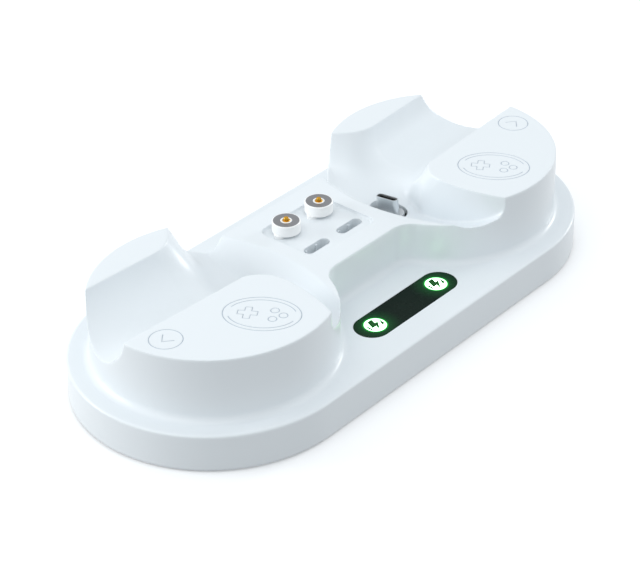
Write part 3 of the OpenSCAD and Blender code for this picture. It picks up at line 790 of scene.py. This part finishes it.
def flat_middle():
    """The solids that are taken off above the flat middle, on both sides."""
    front = prism("flat", front_outline(FLAT_INSET), MID_TOP, FLAT_TOP)
    parts = [front, *bowl(MID_TOP, FLAT_TOP, FLAT_INSET)]
    return parts + [mirrored(part) for part in parts]


def sunk_panel():
    """What is taken out over the panel's floor."""
    panel = block("panel", (-PANEL_L / 2, PANEL_Y - PANEL_W / 2, PANEL),
                  (PANEL_L / 2, PANEL_Y + PANEL_W / 2, MID_TOP + 2 * OVER))
    return rounded(panel, lambda a, b: abs(a.z - b.z) > SAME, PANEL_CORNER, 10)


def inside():
    """Room for the boards under the cradles and the middle."""
    top = LEDGE + INSIDE_H
    across = CRADLE_X - CRADLE_R / 2
    discs = [post("inside", side * CRADLE_X, 0, -WALL, top, 2 * (CRADLE_R - WALL), INSIDE_SIDES)
             for side in (-1, 1)]
    return discs + [block("inside", (-across, WALL - MID_FRONT, -WALL), (across, MID_BACK - WALL, top))]


def solid_shell():
    """Base, cradles and middle, with their troughs and grooves cut out and the panel sunk."""
    ob = base()
    side = cradle()
    hollow = hollows()
    for part in (mirrored(side), side, middle(), foot_blend(False), foot_blend(True)):
        combine(ob, part)
    for part in (*flat_middle(), mirrored(hollow), hollow, sunk_panel(), *inside()):
        combine(ob, part, "DIFFERENCE")
    return ob


def engraving_line(points, closed, width, z):
    """A thin round line to cut into a cradle's top, or to lie in the cut."""
    curve = bpy.data.curves.new("mark", "CURVE")
    curve.dimensions = "3D"
    curve.bevel_depth = width / 2
    curve.bevel_resolution = 2
    curve.use_fill_caps = True
    spline = curve.splines.new("POLY")
    spline.points.add(len(points) - 1)
    for point, (x, y) in zip(spline.points, points):
        point.co = (x, y, z, 1)
    spline.use_cyclic_u = closed
    ob = bpy.data.objects.new("mark", curve)
    bpy.context.collection.objects.link(ob)
    activate(ob)
    bpy.ops.object.convert(target="MESH")
    return bpy.context.object


def round_mark(side):
    """Ring with a chevron that points to the dock's end: points of each line, and whether it closes."""
    x = side * ROUND_X
    back, tip = x - side * CHEVRON * CHEVRON_BACK, x + side * CHEVRON * CHEVRON_TIP
    chevron = [(back, ROUND_Y + CHEVRON), (tip, ROUND_Y), (back, ROUND_Y - CHEVRON)]
    return [(ellipse(x, ROUND_Y, (ROUND_R, ROUND_R)), True), (chevron, False)]


def oval_mark(side):
    """Oval with two inner lines, a cross pad and dots: points of each line, and whether it closes."""
    centre = Vector((side * OVAL_X, OVAL_Y))
    along = Vector((cos(OVAL_TURN), sin(OVAL_TURN))) * MM
    across = Vector((-sin(OVAL_TURN), cos(OVAL_TURN))) * MM
    arm = [(PAD_LONG, PAD_WIDE), (PAD_WIDE, PAD_WIDE), (PAD_WIDE, PAD_LONG)]
    pad = []
    for _ in range(4):
        pad += arm
        arm = [(-v, u) for u, v in arm]
    lines = [(ellipse(*centre, OVAL_R, OVAL_TURN), True)]
    lines += [(ellipse(*centre, INNER_R, OVAL_TURN, *ends, 40), False) for ends in INNER_LINES]
    lines.append(([centre + along * (u + PAD_AT) + across * v for u, v in pad], True))
    for u, v in DOTS_AT:
        lines.append((ellipse(*(centre + along * u + across * v), (DOT_R, DOT_R), n=24), True))
    return lines


def marks(side, width, z):
    """Line marks of one cradle."""
    lines = round_mark(side) + oval_mark(side)
    return [engraving_line(points, closed, width, z) for points, closed in lines]


def slot_hole(x, y, gap):
    """Space of one slot, narrowed by a gap all round, with its two ribs left out."""
    ob = long_post("slot", x, y, PANEL - SLOT_DEEP, PANEL + OVER, SLOT_L - 2 * gap, SLOT_W - 2 * gap)
    ribs = [block("rib", (x + at, y + SLOT_W / 2 - RIB_H, PANEL - SLOT_DEEP - OVER),
                  (x + at + RIB_L, y + SLOT_W, PANEL - RIB_SUNK)) for at in RIB_AT]
    return cut(ob, *ribs)


def plug_hole(side):
    """Leaning hole round a charging plug's holder."""
    ob = long_post("hole", 0, 0, -HOLDER_DOWN, HOLDER_UP, HOLDER_L + 2 * HOLDER_GAP,
                   HOLDER_W + 2 * HOLDER_GAP)
    ob.rotation_euler = (0, 0, pi / 2)
    settle(ob, "hole")
    ob.rotation_euler = (-PLUG_LEAN, 0, 0)
    ob.location = (side * PLUG_X, PLUG_Y, PLUG_FLOOR)
    return settle(ob, "hole")


def holes():
    """Holes for the light guides and plugs, the empty slots, and the slots that the collars close."""
    light_top = LEDGE - 1 * MM
    cutters = []
    for side in (-1, 1):
        cutters.append(post("light", side * LIGHT_X, WINDOW_Y, LEDGE - 2 * WALL, light_top, LIGHT_D))
        cutters.append(plug_hole(side))
        cutters.append(slot_hole(side * SLOT_X, SLOT_Y, 0))
        cutters.append(slot_hole(side * SLOT_X, ADAPTER_Y, COLLAR_GAP))
    return cutters


def moulding():
    """The white top moulding: soft hollows, rounded edges, crisp slots and holes, engraved marks."""
    shell = solid_shell()
    modify(shell, "REMESH", mode="VOXEL", voxel_size=SHELL_VOXEL)
    smooth(shell, SHELL_PASSES)
    triangles = len(shell.data.polygons) * 2
    modify(shell, "DECIMATE", ratio=min(1.0, SHELL_TRIANGLES / triangles))
    recess = long_post("recess", 0, WINDOW_Y, WINDOW_LO.z, LEDGE + OVER, WINDOW_L + 2 * WINDOW_GAP,
                       WINDOW_W + 2 * WINDOW_GAP, 96)
    cut(shell, recess, *marks(-1, LINE_W, CRADLE_TOP), *marks(1, LINE_W, CRADLE_TOP))
    cut(shell, *holes())
    activate(shell)
    bpy.ops.object.shade_smooth_by_angle(angle=SMOOTH_ANGLE)
    return shell


def contact_pin(side, where, gold):
    """Spring pin of an adapter, standing in the white centre of its ring."""
    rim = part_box("adapter_ring_" + where)[1].z
    profile = [(r * MM, rim + z * MM) for r, z in PIN]
    ob = lathed("contact_pin_" + where, profile, side * SLOT_X, ADAPTER_Y, 32)
    bpy.ops.object.shade_smooth_by_angle(angle=SMOOTH_ANGLE)
    return piece(ob, "gold_plate", gold, "adapter_contact_" + where)


def groove_shade_lines(side, where, grey):
    """Grey lines of painted shade in the engraved marks of one cradle."""
    ob = join("mark_lines_" + where, *marks(side, GROOVE_SHADE_W, CRADLE_TOP - GROOVE_SHADE_DEEP))
    return piece(ob, "white_plastic", grey)


def charge_icon(side, where, green):
    """A battery with a bolt through it, dark on a lit disc."""
    plates = []
    for shape in ICON:
        outline = [(side * LIGHT_X + x * MM, WINDOW_Y + y * MM) for x, y in shape]
        plates.append(prism("icon", outline, ICON_LOW, ICON_HIGH))
    return piece(join("charge_icon_" + where, *plates), "black_window", green)


def from_disc(mat):
    """Distance from the centre of the nearer lit disc, seen from above."""
    x = mat.axis(0).op("ABSOLUTE") - LIGHT_X
    y = mat.axis(1) - WINDOW_Y
    return (x * x + y * y) ** 0.5


def window_glass():
    """Black window with a painted green glow of the discs' light round each lit disc."""
    glossiest, uneven = 0.22, 0.1
    mat = Mat("black_window", Specular_IOR_Level=0.05, Emission_Strength=1.0)
    tone = mat.noise(scale=300, detail=2)
    mat.set("Base Color", mat.mix(tone, rgb("05100B"), rgb("0A1812")))
    mat.set("Roughness", mat.noise(scale=150, detail=3) * uneven + glossiest)
    # Painted glow: green emission on the window that stands for the discs' light spreading round them
    off = from_disc(mat) - LIGHT_D / 2
    near = (1 - off / HALO_NEAR).clamp() ** NEAR_FADE
    wide = (1 - off / HALO_WIDE).clamp() ** WIDE_FADE
    soft = mat.mix(wide, rgb("0A1410"), rgb("124A22"))
    mat.set("Emission Color", mat.mix(near, soft, rgb("1FB83C")))
    return mat.data


def lit_disc():
    """A lit diffuser: nearly white in the middle, green at its rim."""
    mat = Mat("lit_diffuser", Base_Color=rgb("DFFBE6"), Roughness=0.35, Emission_Strength=5.5)
    rim = ((from_disc(mat) - LIGHT_D / 2 + DISC_EDGE) / DISC_EDGE).clamp() ** RIM_FADE
    mat.set("Emission Color", mat.mix(rim, rgb("B4F5BC"), rgb("22A838")))
    return mat.data


def icon_green():
    """Dark green of the pictograms, with a little of the discs' light."""
    mat = Mat("icon_green", Roughness=0.4, Specular_IOR_Level=0.1, Emission_Strength=1.0)
    tone = mat.noise(scale=800, detail=2)
    mat.set("Base Color", mat.mix(tone, rgb("0A2A10"), rgb("0F3516")))
    mat.set("Emission Color", mat.mix(tone, rgb("0B3B12"), rgb("12501A")))
    return mat.data


def both(name):
    """Names of the two nodes of a pair."""
    return [name + "_left", name + "_right"]


def finish_nodes():
    """Materials of the CAD nodes that stay."""
    finishes = (
        (metal("drawn_steel", rgb("EEF2F5"), 0.3),
         ["cover_screws", "power_inlet_shell", *both("plug_shell"), *both("adapter_plug")]),
        (metal("magnet_face", rgb("A2A2A5"), 0.42, stretch=(1, 1, 1), scale=700), both("adapter_ring")),
        (moulded("black_moulding", rgb("141516"), 0.5),
         ["power_inductor", "power_inlet_tongue", *both("charge_chip"), *both("plug_insert"),
          *both("adapter_insert")]),
        (moulded("solder_mask", rgb("1C5A38"), 0.35, grain=900),
         ["led_board", "main_board", *both("plug_board")]),
        (moulded("bright_white_plastic", rgb("F6F7F7"), 0.3, spread=0.02),
         both("led") + both("adapter_body")),
        (moulded("grey_plastic", rgb("C6CACD"), 0.45), ["bottom_cover", *both("plug_holder")]),
        (moulded("soft_rubber", rgb("3A3C3E"), 0.8, grain=1400, depth=0.05),
         both("foot_front") + both("foot_back")),
        (moulded("ribbon_film", rgb("E8E8E2"), 0.3), ["ribbon_led", *both("ribbon")]),
        (window_glass(), ["indicator_window"]),
        (lit_disc(), both("light_guide")))
    for material, nodes in finishes:
        for node in nodes:
            paint_node(node, material)


def sky():
    """A pale world that grows stronger from below to overhead."""
    world = bpy.data.worlds.new("studio")
    world.use_nodes = True
    tree = Tree(world.node_tree)
    height = tree.add("SeparateXYZ", None, tree.add("TexCoord", out="Generated"), out="Z")
    strength = tree.add("MapRange", None, Value=height, From_Min=-1, To_Min=SKY_LOW, To_Max=SKY_HIGH)
    background = tree.nodes["Background"]
    tree.feed(background.inputs["Strength"], strength)
    tree.feed(background.inputs["Color"], SKY_COLOUR)
    bpy.context.scene.world = world


def ground():
    """A pale floor that doesn't light the dock's walls."""
    bpy.ops.mesh.primitive_plane_add(size=8, location=(0, 0, 0))
    floor = settle(bpy.context.object, "floor")
    mat = Mat("floor", Roughness=0.9, Emission_Color=(1, 1, 1, 1), Emission_Strength=0.12)
    tone = mat.noise(scale=3, detail=1)
    mat.set("Base Color", mat.mix(tone, rgb("F4F5F6"), rgb("F8F9FA")))
    paint(floor, mat.data)
    floor.visible_diffuse = False


def lamps():
    """The soft lamps, each pointing at the dock."""
    for name, azimuth, height, power, size in LIGHTS:
        around, up = radians(azimuth), radians(height)
        at = Vector((cos(around) * cos(up), sin(around) * cos(up), sin(up)))
        light = bpy.data.lights.new(name, "AREA")
        light.energy, light.size = power, size
        ob = bpy.data.objects.new(name, light)
        ob.location = at
        ob.rotation_euler = (-at).to_track_quat("-Z", "Y").to_euler()
        bpy.context.collection.objects.link(ob)


bpy.context.scene.view_settings.view_transform = "Standard"
camera()
sky()
ground()
lamps()
white = moulded("white_plastic", rgb("E6ECF0"), 0.3, spread=0.015)
piece(moulding(), "white_plastic", white, "top_shell")
# Grey of the painted shade in the engraved lines of the marks
grey = moulded("groove_shade_grey", rgb("BCC7D2"), 0.5)
gold = metal("gold_plate", rgb("E0A93C"), 0.2)
green = icon_green()
for side, where in SIDES:
    contact_pin(side, where, gold)
    # Grey lines of painted shade in each cradle's engraved marks
    groove_shade_lines(side, where, grey)
for side, where in SIDES:
    charge_icon(side, where, green)
finish_nodes()
